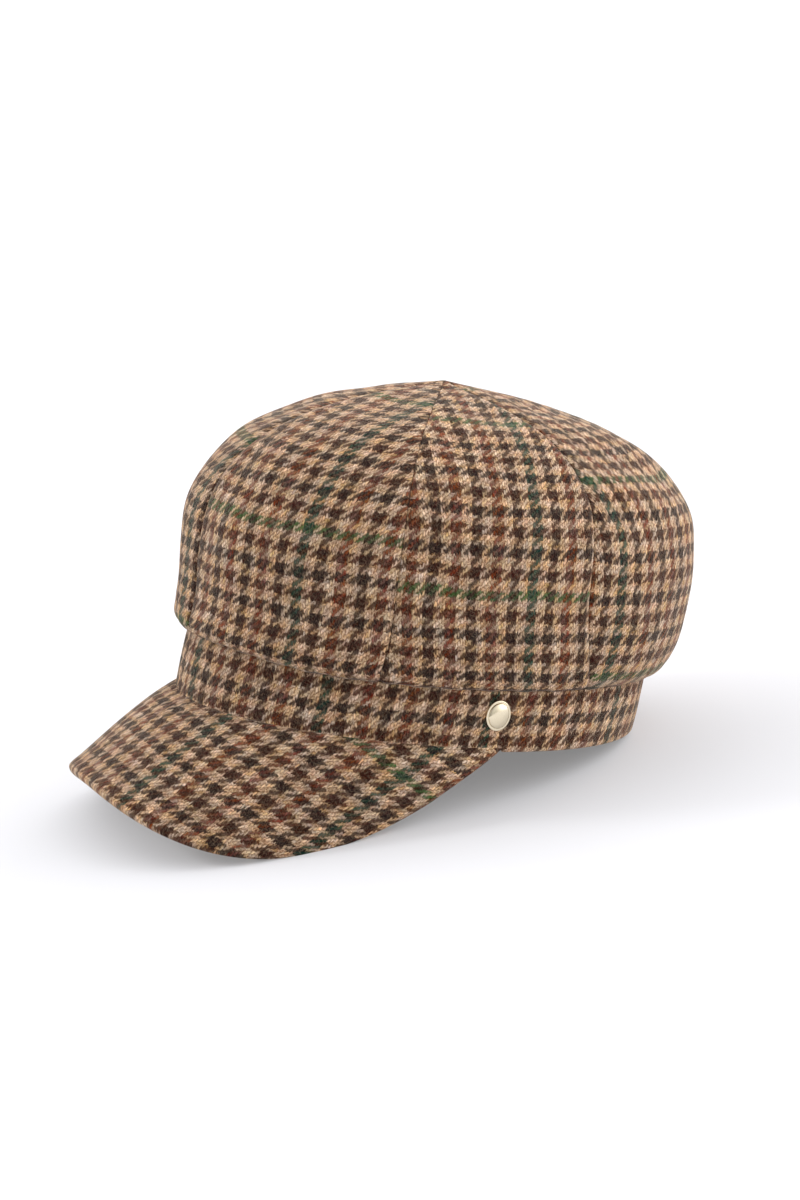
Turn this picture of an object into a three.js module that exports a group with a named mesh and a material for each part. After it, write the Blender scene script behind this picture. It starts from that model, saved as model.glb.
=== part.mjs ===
// A six-panel baker boy cap in tweed: a full crown gathered on to an upright band, a drooping peak sewn under
// the band's front, and a small domed stud at the wearer's left temple. It stands by itself, on the edge of its
// peak and the back of its hem. Millimetres and degrees, +Z up, the wearer faces -Y and their left is +X.
import * as THREE from "three";

// Band: an oval for a 57 cm head
const HEAD_HALF_LENGTH = 102.3;
const HEAD_HALF_WIDTH = 83.9;
const BAND_HEIGHT = 24;
const BAND_LEAN = 2.8; // how far its top edge stands behind its bottom edge
const BAND_WALL = 2.5;
const HEM_DROP = 2.4; // how far it hangs below the peak's seam, behind the peak
const HEM_STEP_SPAN = 6; // degrees over which the hem steps down
const BAND_STEPS = 80;

// Crown: six panels of one cloth
const PANEL_NAMES = ["front_left", "left", "back_left", "back_right", "right", "front_right"];
const CLOTH_WALL = 2;
const TIP_WALL = 1.2; // thinner where the six tips meet
const SEAM_GAP = 0.3;
const PANEL_STEPS_ACROSS = 10;
const PANEL_STEPS_UP = 20;
const PANEL_STEP_GROWTH = 1.35; // above 1 the steps are closer near the band, where the cloth rolls over

// Sections of the crown from the band to the apex. The reaches run from the middle of the head to the oval's
// front, back and side. Lean brings the rear side seams forward, in degrees. Fullness swells each panel beyond
// the oval, as a share of the oval's own rise over the chord between its two seams.
const CROWN_SECTIONS = [
  { height: 24.3, front: 99.5, back: 105.1, side: 83.9, lean: 2, fullness: 0 },
  { height: 25.5, front: 101.2, back: 108, side: 87, lean: 2.2, fullness: 0.05 },
  { height: 31, front: 102.2, back: 112, side: 89.6, lean: 3.5, fullness: 0.12 },
  { height: 44, front: 102.6, back: 115.2, side: 92, lean: 6.5, fullness: 0.18 },
  { height: 62, front: 102.6, back: 116.6, side: 93, lean: 8.5, fullness: 0.2 },
  { height: 80, front: 102, back: 116.6, side: 92, lean: 8.5, fullness: 0.18 },
  { height: 93, front: 97, back: 114.8, side: 88, lean: 8, fullness: 0.14 },
  { height: 103, front: 90.5, back: 109, side: 80.5, lean: 7, fullness: 0.12 },
  { height: 113, front: 78.5, back: 97, side: 69.5, lean: 6, fullness: 0.14 },
  { height: 124, front: 57, back: 74, side: 50.5, lean: 4.5, fullness: 0.15 },
  { height: 132.8, front: 31, back: 42, side: 28, lean: 3, fullness: 0.1 },
  { height: 137, front: 13, back: 18, side: 12, lean: 2.5, fullness: 0.05 },
  { height: 139.8, front: 0.9, back: 0.9, side: 0.9, lean: 2, fullness: 0 },
];
// Share of the lean that each seam takes, from the front seam round by the wearer's left
const SEAM_LEAN_SHARES = [0, 0.08, -1, 0, 1, -0.08, 0];

// Peak: a flat card cut to a rounded outline, bent round the band and sloping down to the front
const PEAK_SLOPE = 40;
const PEAK_END_ANGLE = 95.5; // where it ends on the band, from the front
const PEAK_WALL = 3;
const PEAK_INSET = 0.3; // how far its sewn edge starts inside the band's face
const PEAK_PLAN_HALF_WIDTH = 125;
const PEAK_PLAN_DEPTH = 149.6; // from the line of its two ends to its front edge
const PEAK_PLAN_SETBACK = 14; // of that line behind the middle of the head
const PEAK_PLAN_EXPONENT = 2.75; // 2 is an ellipse, more is squarer at the corners
const PEAK_STEPS_ROUND = 44;
const PEAK_STEPS_OUT = 7;

// Stud: a plain oval dome with a flat rim
const STUD_HALF_WIDTH = 5.5;
const STUD_HALF_HEIGHT = 6.5;
const STUD_RIM_HEIGHT = 0.9;
const STUD_DOME_HEIGHT = 2.6;
const STUD_DOME_SHARE = 0.84; // of the stud's width that is domed
const STUD_ANGLE = 91.4;
const STUD_LEVEL = 13.5; // above the band's bottom edge
const STUD_SIDES = 24;
const STUD_DOME_STEPS = 5;

// Rest: the lean that the cap takes on a floor, and how far its cloth gives where it bears
const REST_PITCH = 14.82;
const BEARING_DEPTH = 1.5;

const radians = THREE.MathUtils.degToRad;
const lerp = THREE.MathUtils.lerp;

const tweed = new THREE.MeshStandardMaterial({ color: 0x8a6a4c, roughness: 0.95, metalness: 0 });
const metal = new THREE.MeshStandardMaterial({ color: 0xc9bda4, roughness: 0.25, metalness: 1 });

// A row of evenly spaced shares from 0 to 1
const shares = (steps) => Array.from({ length: steps + 1 }, (_, k) => k / steps);

// The direction of the floor's upward normal as the resting cap meets it
const floorUp = new THREE.Vector3(0, -Math.sin(radians(REST_PITCH)), Math.cos(radians(REST_PITCH)));

// A point on the band's outside, or inset from it, with the angle counted from the front to the wearer's left
function bandPoint(angle, level, inset = 0) {
  const x = (HEAD_HALF_WIDTH - inset) * Math.sin(angle);
  const y = -(HEAD_HALF_LENGTH - inset) * Math.cos(angle);
  return new THREE.Vector3(x, y + BAND_LEAN * (level / BAND_HEIGHT), level);
}

// The level of the band's bottom edge, which steps down behind the ends of the peak
function hemLevel(angle) {
  const fromFront = Math.abs(Math.atan2(Math.sin(angle), Math.cos(angle)));
  const stepStart = radians(PEAK_END_ANGLE + 1);
  return -HEM_DROP * THREE.MathUtils.smoothstep(fromFront, stepStart, stepStart + radians(HEM_STEP_SPAN));
}

// A table of angle against a length that builds up round the oval at a given growth per radian
function lengthTable(growth, lastAngle, steps = 720) {
  const step = lastAngle / steps;
  const table = [{ angle: 0, length: 0 }];
  for (let k = 1; k <= steps; k += 1) {
    table.push({ angle: k * step, length: table[k - 1].length + growth((k - 0.5) * step) * step });
  }
  return table;
}

// One column of such a table, read off at a value of the other
function readOff(table, from, value, to) {
  const found = table.findIndex((row, k) => k > 0 && row[from] >= value);
  const next = found < 0 ? table.length - 1 : found;
  const share = (value - table[next - 1][from]) / (table[next][from] - table[next - 1][from]);
  return lerp(table[next - 1][to], table[next][to], share);
}

// The six seams leave the band at equal lengths round it, the first of them at the front
function bandSeamAngles() {
  const growth = (angle) => Math.hypot(HEAD_HALF_WIDTH * Math.cos(angle), HEAD_HALF_LENGTH * Math.sin(angle));
  const table = lengthTable(growth, 2 * Math.PI);
  const wholeRound = table.at(-1).length;
  return shares(PANEL_NAMES.length).map((share) => readOff(table, "length", share * wholeRound, "angle"));
}

// A smooth curve through the crown's sections, which gives a section at any share of the way up
function crownSectionCurve() {
  const columns = Object.keys(CROWN_SECTIONS[0]);
  const stations = [0];
  for (let k = 1; k < CROWN_SECTIONS.length; k += 1) {
    const [low, high] = [CROWN_SECTIONS[k - 1], CROWN_SECTIONS[k]];
    stations.push(stations[k - 1] + Math.hypot(high.height - low.height, high.side - low.side));
  }
  const positions = stations.map((station) => station / stations.at(-1));
  const values = CROWN_SECTIONS.flatMap((section) => columns.map((column) => section[column]));
  const cubic = new THREE.CubicInterpolant(positions, values, columns.length);
  return (up) => {
    const row = cubic.evaluate(up);
    return Object.fromEntries(columns.map((column, k) => [column, row[k]]));
  };
}

const seamAngles = bandSeamAngles();
const crownSection = crownSectionCurve();

// A point on the crown's outside: its section's oval, swelled away from the chord between the panel's seams
function crownPoint(panel, across, up) {
  const section = crownSection(up);
  const lean = radians(section.lean);
  const start = seamAngles[panel] + SEAM_LEAN_SHARES[panel] * lean;
  const end = seamAngles[panel + 1] + SEAM_LEAN_SHARES[panel + 1] * lean;
  const onOval = (angle) => {
    const reach = Math.cos(angle) > 0 ? section.front : section.back;
    return new THREE.Vector3(section.side * Math.sin(angle), -reach * Math.cos(angle), section.height);
  };
  const chord = onOval(start).lerp(onOval(end), across);
  return onOval(lerp(start, end, across)).lerp(chord, -section.fullness);
}

// The outward direction on a surface of two parameters, from its slopes along them
function outward(surface, a, b, step = 1e-3) {
  const alongA = surface(a + step, b).sub(surface(a - step, b));
  const alongB = surface(a, Math.min(1, b + step)).sub(surface(a, Math.max(0, b - step)));
  return alongA.cross(alongB).normalize();
}

// A closed solid through a row of loops of equal length. Each loop runs along one face of a wall and back along
// the other, so a row with two ends is capped there by the strip between the two faces.
function loft(loops, closedRound) {
  const size = loops[0].length;
  const index = [];
  const quad = (a, b, c, d) => index.push(a, b, c, a, c, d);
  const spans = closedRound ? loops.length : loops.length - 1;
  for (let k = 0; k < spans; k += 1) {
    const here = k * size;
    const there = ((k + 1) % loops.length) * size;
    for (let j = 0; j < size; j += 1) {
      const next = (j + 1) % size;
      quad(here + j, there + j, there + next, here + next);
    }
  }
  if (!closedRound) {
    const last = (loops.length - 1) * size;
    for (let j = 0; j < size / 2 - 1; j += 1) {
      const opposite = size - 1 - j;
      quad(j, j + 1, opposite - 1, opposite);
      quad(last + opposite, last + opposite - 1, last + j + 1, last + j);
    }
  }
  const geometry = new THREE.BufferGeometry();
  const positions = loops.flat().flatMap((point) => point.toArray());
  geometry.setAttribute("position", new THREE.Float32BufferAttribute(positions, 3));
  geometry.setIndex(index);
  geometry.computeVertexNormals();
  return geometry;
}

// One crown panel, whose lowest edge is turned in level over the band
function crownPanel(panel) {
  const surface = (across, up) => crownPoint(panel, across, up);
  const loops = shares(PANEL_STEPS_ACROSS).map((share) => {
    const outer = [];
    const inner = [];
    for (const step of shares(PANEL_STEPS_UP)) {
      const up = step ** PANEL_STEP_GROWTH;
      const margin = SEAM_GAP / 2 / surface(0, up).distanceTo(surface(1, up));
      const across = lerp(margin, 1 - margin, share);
      const point = surface(across, up);
      const inward = outward(surface, across, up).negate();
      if (step === 0) {
        inward.setZ(0).normalize();
      }
      outer.push(point);
      inner.push(point.clone().addScaledVector(inward, lerp(CLOTH_WALL, TIP_WALL, up)));
    }
    return [...outer, ...inner.reverse()];
  });
  return loft(loops, false);
}

// The band, a wall round the head whose hem is pressed flat where it bears on the floor
function band(settle) {
  const loops = shares(BAND_STEPS).slice(0, -1).map((share) => {
    const angle = share * 2 * Math.PI;
    const level = hemLevel(angle);
    return [
      settle(bandPoint(angle, level)),
      bandPoint(angle, BAND_HEIGHT / 2),
      bandPoint(angle, BAND_HEIGHT),
      bandPoint(angle, BAND_HEIGHT, BAND_WALL),
      bandPoint(angle, BAND_HEIGHT / 2, BAND_WALL),
      settle(bandPoint(angle, level, BAND_WALL)),
    ];
  });
  return loft(loops, true);
}

// The peak's own measures: the straight direction in which it falls, and its length at each angle on the band.
// Its outline is cut on the flat card, a rounded curve that is wider than the head.
const peakFall = new THREE.Vector3(0, -Math.cos(radians(PEAK_SLOPE)), -Math.sin(radians(PEAK_SLOPE)));
const peakWidths = lengthTable((angle) => {
  const level = HEAD_HALF_LENGTH * Math.sin(angle) * Math.sin(radians(PEAK_SLOPE));
  return Math.hypot(HEAD_HALF_WIDTH * Math.cos(angle), level);
}, radians(PEAK_END_ANGLE));

function peakLength(angle) {
  const width = readOff(peakWidths, "angle", Math.abs(angle), "length");
  const rounding = 1 - (width / PEAK_PLAN_HALF_WIDTH) ** PEAK_PLAN_EXPONENT;
  const edge = PEAK_PLAN_DEPTH * rounding ** (1 / PEAK_PLAN_EXPONENT) - PEAK_PLAN_SETBACK;
  return edge - HEAD_HALF_LENGTH * Math.cos(angle) * Math.cos(radians(PEAK_SLOPE));
}

// A point on the peak's upper face, at a share of the way from its sewn edge to its free edge
function peakPoint(angle, share) {
  return bandPoint(angle, -SEAM_GAP, PEAK_INSET).addScaledVector(peakFall, share * peakLength(angle));
}

function peak(settle) {
  const loops = shares(PEAK_STEPS_ROUND).map((share) => {
    const angle = radians(PEAK_END_ANGLE) * Math.sin((share - 0.5) * Math.PI);
    const upward = bandPoint(angle + 1e-3, 0).sub(bandPoint(angle - 1e-3, 0)).cross(peakFall).negate().normalize();
    const upper = shares(PEAK_STEPS_OUT).map((out) => peakPoint(angle, out));
    const under = upper.map((point) => point.clone().addScaledVector(upward, -PEAK_WALL));
    // The sewn edge is cut level, so that the whole of it lies against the band
    under[0].addScaledVector(peakFall, (under[0].z + SEAM_GAP) / -peakFall.z);
    return [...under.map(settle), ...upper.map(settle).reverse()];
  });
  return loft(loops, false);
}

// The stud is turned about its own axis, then made oval and set with its flat back against the band
function stud() {
  const profile = [new THREE.Vector2(0, 0), new THREE.Vector2(1, 0), new THREE.Vector2(1, STUD_RIM_HEIGHT)];
  for (const share of shares(STUD_DOME_STEPS)) {
    const radius = STUD_DOME_SHARE * Math.cos((share * Math.PI) / 2);
    const rise = (STUD_DOME_HEIGHT - STUD_RIM_HEIGHT) * Math.sin((share * Math.PI) / 2);
    profile.push(new THREE.Vector2(share === 1 ? 0 : radius, STUD_RIM_HEIGHT + rise));
  }
  return new THREE.LatheGeometry(profile, STUD_SIDES).scale(STUD_HALF_WIDTH, 1, STUD_HALF_HEIGHT);
}

function named(name, geometry, material) {
  const mesh = new THREE.Mesh(geometry, material);
  mesh.name = name;
  return mesh;
}

// The lowest level that a piece reaches towards the floor
function lowest(geometry) {
  const positions = geometry.getAttribute("position");
  const point = new THREE.Vector3();
  let level = Infinity;
  for (let k = 0; k < positions.count; k += 1) {
    level = Math.min(level, point.fromBufferAttribute(positions, k).dot(floorUp));
  }
  return level;
}

// Cloth that would reach below the floor is pressed up on to it
const asMade = (point) => point;
const floorLevel = Math.min(lowest(band(asMade)), lowest(peak(asMade))) + BEARING_DEPTH;
const pressed = (point) => point.clone().addScaledVector(floorUp, Math.max(0, floorLevel - point.dot(floorUp)));

// The stud's place: its back on the band, its height along the band's wall
function placedStud() {
  const angle = radians(STUD_ANGLE);
  const wallUp = new THREE.Vector3(0, BAND_LEAN, BAND_HEIGHT).normalize();
  const round = bandPoint(angle + 1e-3, 0).sub(bandPoint(angle - 1e-3, 0));
  const out = round.cross(wallUp).normalize();
  const mesh = named("stud", stud(), metal);
  mesh.position.copy(bandPoint(angle, STUD_LEVEL)).addScaledVector(out, SEAM_GAP);
  mesh.quaternion.setFromRotationMatrix(new THREE.Matrix4().makeBasis(out.clone().cross(wallUp), out, wallUp));
  return mesh;
}

const crown = new THREE.Group();
PANEL_NAMES.forEach((name, panel) => crown.add(named(`crown_panel_${name}`, crownPanel(panel), tweed)));

const headpiece = new THREE.Group();
headpiece.add(named("band", band(pressed), tweed), named("peak", peak(pressed), tweed), placedStud());

// The cap leans back on to the floor, with the middle of its outline over the origin
const cap = new THREE.Group();
cap.add(crown, headpiece);
cap.rotation.x = -radians(REST_PITCH);
const outline = new THREE.Box3().setFromObject(cap, true);
cap.position.set(0, -(outline.min.y + outline.max.y) / 2, -outline.min.z);

const part = new THREE.Group();
part.add(cap);

export default part;
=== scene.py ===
"""Looks of a six-panel tweed baker boy cap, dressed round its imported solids.

Lengths are millimetres in the cap's own frame, with the band's ring level, the wearer facing -Y and their
left at +X, and angles are counted from the front round by the wearer's left. When a mesh is made, the cap's
rest turns its points to the way that the cap stands on the floor, and they become metres.
"""
import logging
import math
from dataclasses import astuple, dataclass
from enum import Enum

import bpy
import numpy as np
from mathutils import Matrix, Vector


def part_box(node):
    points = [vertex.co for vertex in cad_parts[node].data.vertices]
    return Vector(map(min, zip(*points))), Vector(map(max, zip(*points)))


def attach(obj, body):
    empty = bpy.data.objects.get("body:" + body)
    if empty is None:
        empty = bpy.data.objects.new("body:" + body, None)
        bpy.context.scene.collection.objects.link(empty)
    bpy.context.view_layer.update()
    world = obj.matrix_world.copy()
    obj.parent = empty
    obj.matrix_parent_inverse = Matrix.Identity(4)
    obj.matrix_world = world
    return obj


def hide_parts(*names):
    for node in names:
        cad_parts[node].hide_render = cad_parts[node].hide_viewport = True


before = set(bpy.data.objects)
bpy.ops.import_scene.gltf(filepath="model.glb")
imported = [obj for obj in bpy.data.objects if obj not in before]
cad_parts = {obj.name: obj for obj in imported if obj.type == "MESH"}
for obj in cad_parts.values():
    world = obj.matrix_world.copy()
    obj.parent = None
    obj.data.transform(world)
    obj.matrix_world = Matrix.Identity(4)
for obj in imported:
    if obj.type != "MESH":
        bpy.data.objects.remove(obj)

Array = np.ndarray
Material = bpy.types.Material
Piece = bpy.types.Object
Socket = bpy.types.NodeSocket
Tree = bpy.types.NodeTree

LOG = logging.getLogger("baker_boy_cap")
MM = 0.001
TURN = 2 * math.pi
TINY_TURN = 1e-4
CLOTH_UV = "cloth_mm"
# A noise's values lie nearly all between these.
NOISE_SPAN = {"From Min": 0.3, "From Max": 0.7}
# The product x(1 - x) is a quarter at most, and x(1 - x)² is 4/27.
ARCH_SCALE, DOME_SCALE = 4.0, 27 / 4


def linear(hex_colour: str) -> tuple[float, float, float, float]:
    """Turns an sRGB hex colour to a linear one.

    Args:
        hex_colour: The colour as "#RRGGBB".

    Returns:
        Red, green, blue and a full alpha.
    """
    values = [int(hex_colour[k : k + 2], 16) / 255 for k in (1, 3, 5)]
    red, green, blue = (v / 12.92 if v <= 0.04045 else ((v + 0.055) / 1.055) ** 2.4 for v in values)
    return red, green, blue, 1.0


def add_node(tree: Tree, kind: str, inputs: dict | None = None, **settings: object) -> bpy.types.Node:
    """Adds a shader node with its settings, and links or sets its inputs.

    Args:
        tree: The node tree that takes it.
        kind: Blender's name of the node's type, after "ShaderNode".
        inputs: A socket to link or a constant to set, for each input's name or number.
        settings: The node's own properties.

    Returns:
        The new node.
    """
    node = tree.nodes.new(f"ShaderNode{kind}")
    for name, value in settings.items():
        setattr(node, name, value)
    for key, value in (inputs or {}).items():
        if isinstance(value, Socket):
            tree.links.new(value, node.inputs[key])
        else:
            node.inputs[key].default_value = value
    return node


def new_material(name: str) -> tuple[Material, Tree, bpy.types.Node]:
    """Makes a material with an empty sheet and its output.

    Args:
        name: The material's name.

    Returns:
        The material, its node tree and its output node.
    """
    material = bpy.data.materials.new(name)
    material.use_nodes = True
    material.node_tree.nodes.clear()
    output = add_node(material.node_tree, "OutputMaterial")
    return material, material.node_tree, output


class Yarn(Enum):
    """The tweed's yarns, by colour."""

    SAND = "#D3B597"
    BOTTLE = "#1A3A30"
    MOSS = "#3F5D3B"
    BARK = "#31150F"
    RUST = "#6F3826"
    PEAT = "#442115"
    SLATE = "#271A1B"


@dataclass(frozen=True)
class Tweed:
    """Woollen tweed, woven as a two-and-two twill in a houndstooth of four light and four dark threads.

    The wool is carded and lightly milled, so the eye gets soft, matt, flecked yarns whose fibres stray over
    their neighbours, each float a rounded ridge with painted shade in the gap beside it and a painted
    highlight on its crest, and a faint pale bloom at the edges. One dark band of each repeat is green,
    which draws an overcheck. The cloth's own coordinates are millimetres from the place where two green
    bands cross. The floats and the heather's streaks are counted in threads.
    """

    warp_pitch: float = 1.1
    weft_pitch: float = 1.1
    band_threads: int = 4
    twill: int = 4
    warp_darks: tuple[Yarn, ...] = (Yarn.BOTTLE, *([Yarn.BARK, Yarn.RUST] * 3), Yarn.BARK)
    weft_darks: tuple[Yarn, ...] = (Yarn.MOSS, *([Yarn.PEAT, Yarn.SLATE] * 4), Yarn.PEAT)
    thread_spread: float = 0.16
    warp_float: float = 2.05
    weft_float: float = 1.95
    float_slant: float = 0.35
    float_end: float = 0.6
    ridge_power: float = 1.3
    arch_share: float = 0.7
    weft_height: float = 0.8
    crest_height: float = 0.85
    # Painted light and shade: the colour is lightened on the floats' crests and darkened warm brown in their
    # gaps.
    painted_crest_light: float = 1.12
    painted_gap_shade: str = "#8E7868"
    wander: float = 1.5
    wander_span: float = 17.0
    fray: tuple[float, float] = (0.75, 1.5)
    fray_span: tuple[float, float] = (0.6, 1.8)
    heather_rates: tuple[float, float] = (0.3, 0.1)
    heather_value: tuple[float, float] = (0.62, 1.34)
    heather_hue: tuple[float, float] = (0.482, 0.516)
    heather_saturation: tuple[float, float] = (0.62, 1.42)
    blend: float = 0.06
    stray: tuple[float, float] = (0.05, 0.55)
    tufts_per_mm: float = 2.6
    fibre_length: float = 2.4
    fibre_width: float = 0.34
    fibre_angles: tuple[float, ...] = (62.0, -24.0, 112.0)
    fibre_crest: tuple[float, float] = (0.58, 0.74)
    fibre_colour: str = "#D9C0A0"
    fibre_share: float = 0.13
    fibre_height: float = 0.25
    relief: float = 0.4

    def band_ramp(self, tree: Tree, thread: Socket, darks: tuple[Yarn, ...]) -> Socket:
        """Colours a thread by its number: bands of sand and each dark in turn, no two threads quite alike.

        Args:
            tree: The material's node tree.
            thread: The thread's whole number.
            darks: The repeat's dark bands in order.

        Returns:
            The colour socket.
        """
        repeat = 2 * self.band_threads * len(darks)
        middle = add_node(tree, "Math", {0: thread, 1: 0.5}, operation="ADD")
        share = add_node(tree, "Math", {0: middle.outputs[0], 1: repeat}, operation="DIVIDE")
        place = add_node(tree, "Math", {0: share.outputs[0]}, operation="FRACT")
        ramp = add_node(tree, "ValToRGB", {0: place.outputs[0]})
        ramp.color_ramp.interpolation = "CONSTANT"
        bands = [yarn for dark in darks for yarn in (dark, Yarn.SAND)]
        stops = ramp.color_ramp.elements
        stops.remove(stops[1])
        for k, yarn in enumerate(bands):
            stop = stops[0] if k == 0 else stops.new(k / len(bands))
            stop.position = k / len(bands)
            stop.color = linear(yarn.value)
        draw = add_node(tree, "TexWhiteNoise", {"W": thread}, noise_dimensions="1D").outputs[0]
        spread = {"Value": draw, "To Min": 1 - self.thread_spread, "To Max": 1 + self.thread_spread}
        tone = add_node(tree, "MapRange", spread).outputs[0]
        return add_node(tree, "VectorMath", {0: ramp.outputs[0], 3: tone}, operation="SCALE").outputs[0]

    def heathered(self, tree: Tree, colour: Socket, cloth: Socket, rates: tuple[float, float]) -> Socket:
        """Breaks a yarn's colour up into the streaks of its mixed fibres.

        Args:
            tree: The material's node tree.
            colour: The yarn's colour.
            cloth: The place on the cloth, in threads.
            rates: How quickly the streaks change along the weft and along the warp.

        Returns:
            The colour socket.
        """
        place = add_node(tree, "VectorMath", {0: cloth, 1: (*rates, 1)}, operation="MULTIPLY").outputs[0]
        streaks = {"Vector": place, "Scale": 1.0, "Detail": 5.0, "Roughness": 0.62}
        streak = add_node(tree, "TexNoise", streaks, noise_dimensions="2D").outputs["Color"]
        tones = add_node(tree, "SeparateColor", {0: streak}).outputs
        spreads = {
            "Value": self.heather_value,
            "Hue": self.heather_hue,
            "Saturation": self.heather_saturation,
        }
        inputs: dict = {"Color": colour}
        for tone, (name, (low, high)) in zip(tones, spreads.items()):
            spread = {"Value": tone, **NOISE_SPAN, "To Min": low, "To Max": high}
            inputs[name] = add_node(tree, "MapRange", spread).outputs[0]
        return add_node(tree, "HueSaturation", inputs).outputs["Color"]

    def float_shape(
        self, tree: Tree, step: tuple[Socket, Socket], across: Socket, start: float, length: float
    ) -> tuple[Socket, Socket]:
        """The rounded ridge of one system's floats.

        Each float is an arch of half a sine along its length and a parabola across its thread, whose crest
        leans over from one end of the float to the other.

        Args:
            tree: The material's node tree.
            step: The place along the thread and the thread's number.
            across: The place across the thread, from 0 to 1.
            start: Where the floats start on thread 0.
            length: The float's length in threads of the other system.

        Returns:
            The phase along the twill's repeat and the ridge's height from 0 to 1.
        """
        from_start = add_node(tree, "Math", {0: step[0], 1: step[1]}, operation="SUBTRACT").outputs[0]
        moved = add_node(tree, "Math", {0: from_start, 1: start}, operation="SUBTRACT").outputs[0]
        phase = add_node(tree, "Math", {0: moved, 1: self.twill}, operation="FLOORED_MODULO").outputs[0]
        lean = {0: phase, 1: -self.float_slant / length, 2: self.float_slant / 2}
        offset = add_node(tree, "Math", lean, operation="MULTIPLY_ADD").outputs[0]
        side = add_node(tree, "Math", {0: across, 1: offset}, operation="ADD").outputs[0]
        rest = add_node(tree, "Math", {0: 1.0, 1: side}, operation="SUBTRACT").outputs[0]
        round_off = add_node(tree, "Math", {0: side, 1: rest}, operation="MULTIPLY").outputs[0]
        full = {0: round_off, 1: ARCH_SCALE}
        dome = add_node(tree, "Math", full, operation="MULTIPLY", use_clamp=True).outputs[0]
        ridge = add_node(tree, "Math", {0: dome, 1: self.ridge_power}, operation="POWER").outputs[0]
        turn = add_node(tree, "Math", {0: phase, 1: math.pi / length}, operation="MULTIPLY").outputs[0]
        arch = add_node(tree, "Math", {0: turn}, operation="SINE").outputs[0]
        lifted = {0: arch, 1: self.arch_share, 2: 1 - self.arch_share}
        arched = add_node(tree, "Math", lifted, operation="MULTIPLY_ADD").outputs[0]
        height = add_node(tree, "Math", {0: ridge, 1: arched}, operation="MULTIPLY", use_clamp=True)
        return phase, height.outputs[0]

    def fibres(self, tree: Tree, place: Socket) -> Socket:
        """Fine loose fibres that lie over the cloth in a few directions, as the crests of stretched noise.

        Args:
            tree: The material's node tree.
            place: The place on the cloth, in millimetres.

        Returns:
            The fibres' share of the surface at each place.
        """
        share: Socket | float = 0.0
        low, high = self.fibre_crest
        for angle in self.fibre_angles:
            turned = {"Vector": place, "Center": (angle, angle, 0), "Angle": math.radians(-angle)}
            along = add_node(tree, "VectorRotate", turned, rotation_type="Z_AXIS").outputs[0]
            size = (1 / self.fibre_length, 1 / self.fibre_width, 1)
            spread = add_node(tree, "VectorMath", {0: along, 1: size}, operation="MULTIPLY").outputs[0]
            settings = {"Vector": spread, "Scale": 1.0, "Detail": 1.0, "Distortion": 0.3}
            noise = add_node(tree, "TexNoise", settings, noise_dimensions="2D").outputs[0]
            crest = add_node(tree, "MapRange", {"Value": noise, "From Min": low, "From Max": high})
            pair = {0: crest.outputs[0], 1: share}
            share = add_node(tree, "Math", pair, operation="MAXIMUM").outputs[0]
        return share

    def strayed(self, tree: Tree, place: Socket) -> Socket:
        """Moves a place on the cloth by noise: slowly as the cloth stretches, then finely as the yarns fray.

        Args:
            tree: The material's node tree.
            place: The place on the cloth, in millimetres.

        Returns:
            The place that the moved threads show there.
        """
        for reach, span in (((self.wander,) * 2, (self.wander_span,) * 2), (self.fray, self.fray_span)):
            size = {0: place, 1: (1 / span[0], 1 / span[1], 1)}
            stretched = add_node(tree, "VectorMath", size, operation="MULTIPLY").outputs[0]
            settings = {"Vector": stretched, "Scale": 1.0, "Detail": 2.0}
            noise = add_node(tree, "TexNoise", settings, noise_dimensions="2D").outputs["Color"]
            middle = {0: noise, 1: (0.5, 0.5, 0.5)}
            centred = add_node(tree, "VectorMath", middle, operation="SUBTRACT").outputs[0]
            moved = {0: centred, 1: (2 * reach[0], 2 * reach[1], 0), 2: place}
            place = add_node(tree, "VectorMath", moved, operation="MULTIPLY_ADD").outputs[0]
        return place

    def weave(self, tree: Tree, cloth: Socket) -> tuple[Socket, Socket, Socket, Socket]:
        """The crossing of the threads at each place.

        A warp thread i and a weft thread j cross at each place (x, y), counted in threads. The warp is on top
        along its float, which starts where (y - i) mod 4 is 0, so the floats step up to the right as a twill
        does. At a float's ends the warp gives way to the weft softly.

        Args:
            tree: The material's node tree.
            cloth: The place on the cloth, in threads.

        Returns:
            The two threads' numbers, the warp's share of the surface and the height of what is on top.
        """
        thread = add_node(tree, "VectorMath", {0: cloth}, operation="FLOOR").outputs[0]
        inside = add_node(tree, "VectorMath", {0: cloth}, operation="FRACTION").outputs[0]
        x, y, _ = add_node(tree, "SeparateXYZ", {0: cloth}).outputs
        i, j, _ = add_node(tree, "SeparateXYZ", {0: thread}).outputs
        x_inside, y_inside, _ = add_node(tree, "SeparateXYZ", {0: inside}).outputs
        phase, warp_ridge = self.float_shape(tree, (y, i), x_inside, 0.0, self.warp_float)
        _, weft_ridge = self.float_shape(tree, (x, j), y_inside, 1.0, self.weft_float)
        half, soft = self.warp_float / 2, self.float_end / 2
        from_middle = add_node(tree, "Math", {0: phase, 1: half}, operation="SUBTRACT").outputs[0]
        around = {0: from_middle, 1: self.twill / 2, 2: -self.twill / 2}
        wrapped = add_node(tree, "Math", around, operation="WRAP").outputs[0]
        away = add_node(tree, "Math", {0: wrapped}, operation="ABSOLUTE").outputs[0]
        ends = {"From Min": half - soft, "From Max": half + soft, "To Min": 1.0, "To Max": 0.0}
        warp_up = add_node(tree, "MapRange", {"Value": away, **ends}).outputs[0]
        lowered = {0: weft_ridge, 1: self.weft_height}
        weft_low = add_node(tree, "Math", lowered, operation="MULTIPLY").outputs[0]
        ridges = {"Factor": warp_up, 2: weft_low, 3: warp_ridge}
        return i, j, warp_up, add_node(tree, "Mix", ridges, data_type="FLOAT").outputs[0]

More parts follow.
